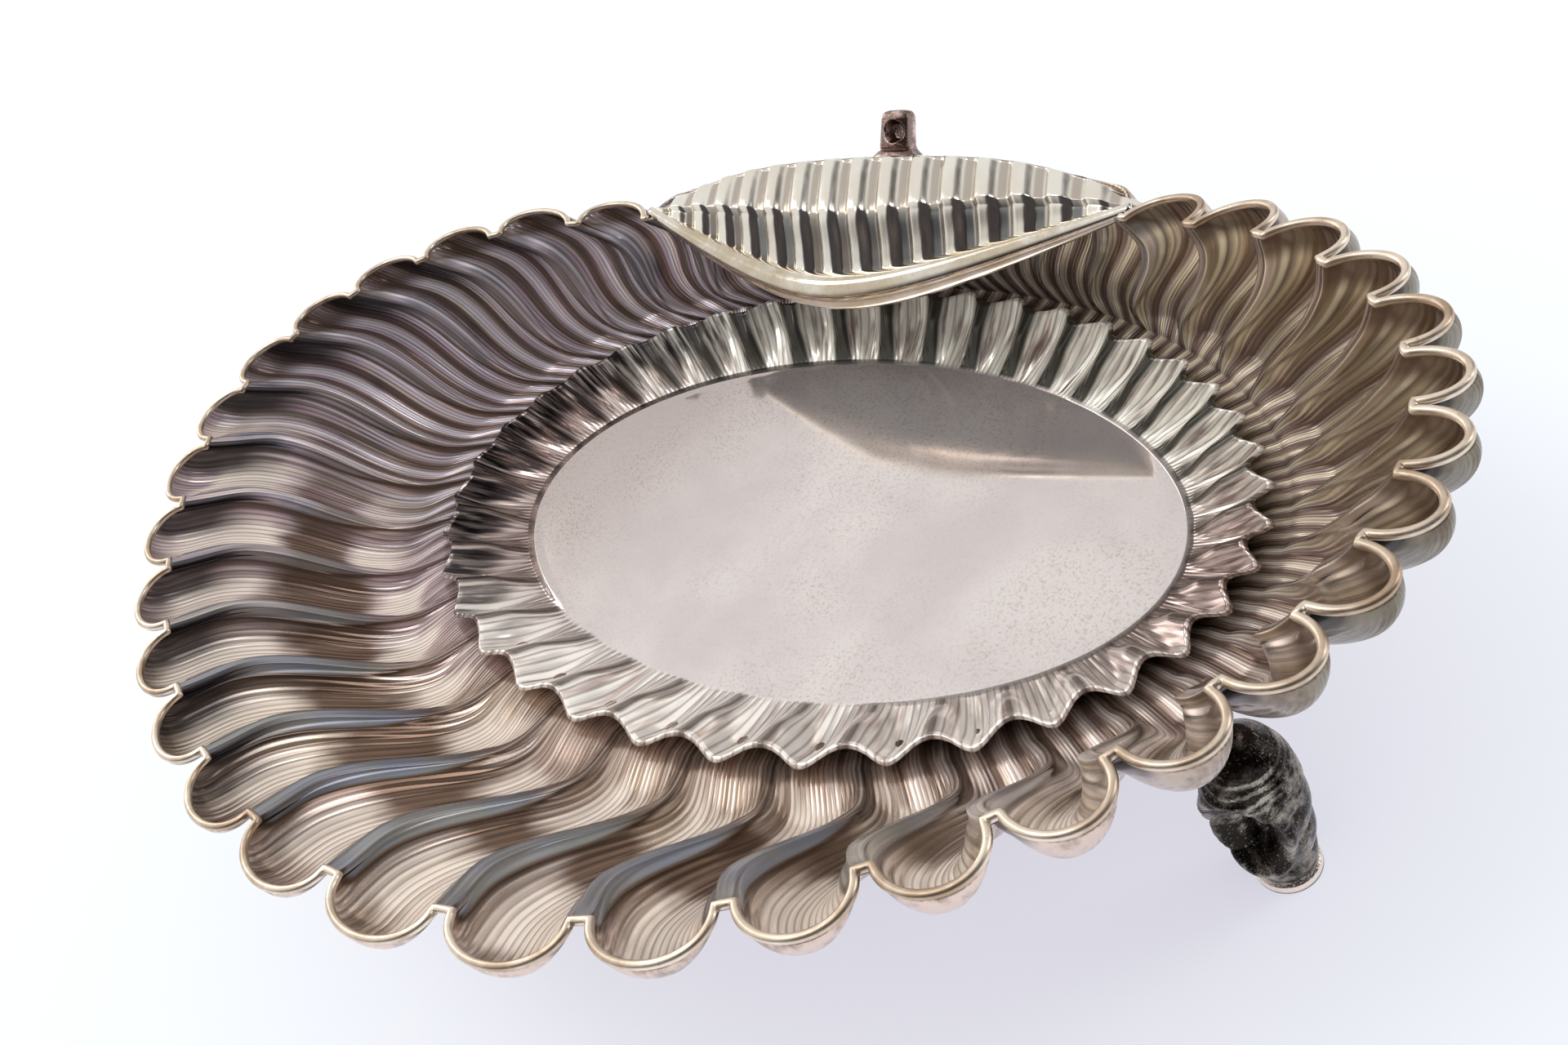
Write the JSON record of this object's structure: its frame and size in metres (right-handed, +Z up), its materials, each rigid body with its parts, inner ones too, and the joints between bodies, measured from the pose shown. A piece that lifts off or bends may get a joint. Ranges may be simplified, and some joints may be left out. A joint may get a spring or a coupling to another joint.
{
  "type": "footed sauce dish",
  "caption": "Oval swirl-fluted silver dish on cast shell feet, with an inset fluted tray, a ribbed curled hood and a small rear scroll handle.",
  "frame": {"origin": "centre of the overall box at the level of the feet's soles", "axes": "+Z up, +Y from the front rim towards the hood, +X towards the dish's right end"},
  "size_m": [0.218, 0.158, 0.0555],
  "materials": {
    "chased_silver": "polished silver with chased lines and uneven brown and mauve tarnish",
    "tray_silver": "polished silver with fine scratches and specks of tarnish",
    "hood_silver": "bright polished ribs with dark tarnish in the grooves",
    "edge_silver": "bright worn polished silver",
    "cast_silver": "cast silver with dark tarnish in the hollows"
  },
  "bodies": {
    "root": {"outer_bowl": "chased_silver", "rim_wire": "edge_silver", "well_tray": "tray_silver", "hood_shell": "hood_silver", "hood_rolled_edge": "edge_silver", "foot_left": "cast_silver", "foot_left_plate": "cast_silver", "foot_right": "cast_silver", "foot_right_plate": "cast_silver", "foot_rear": "cast_silver", "foot_rear_plate": "cast_silver", "handle_scroll": "cast_silver", "handle_thumb_scroll": "cast_silver", "handle_upper_plate": "cast_silver", "handle_lower_plate": "cast_silver"}
  },
  "joints": []
}
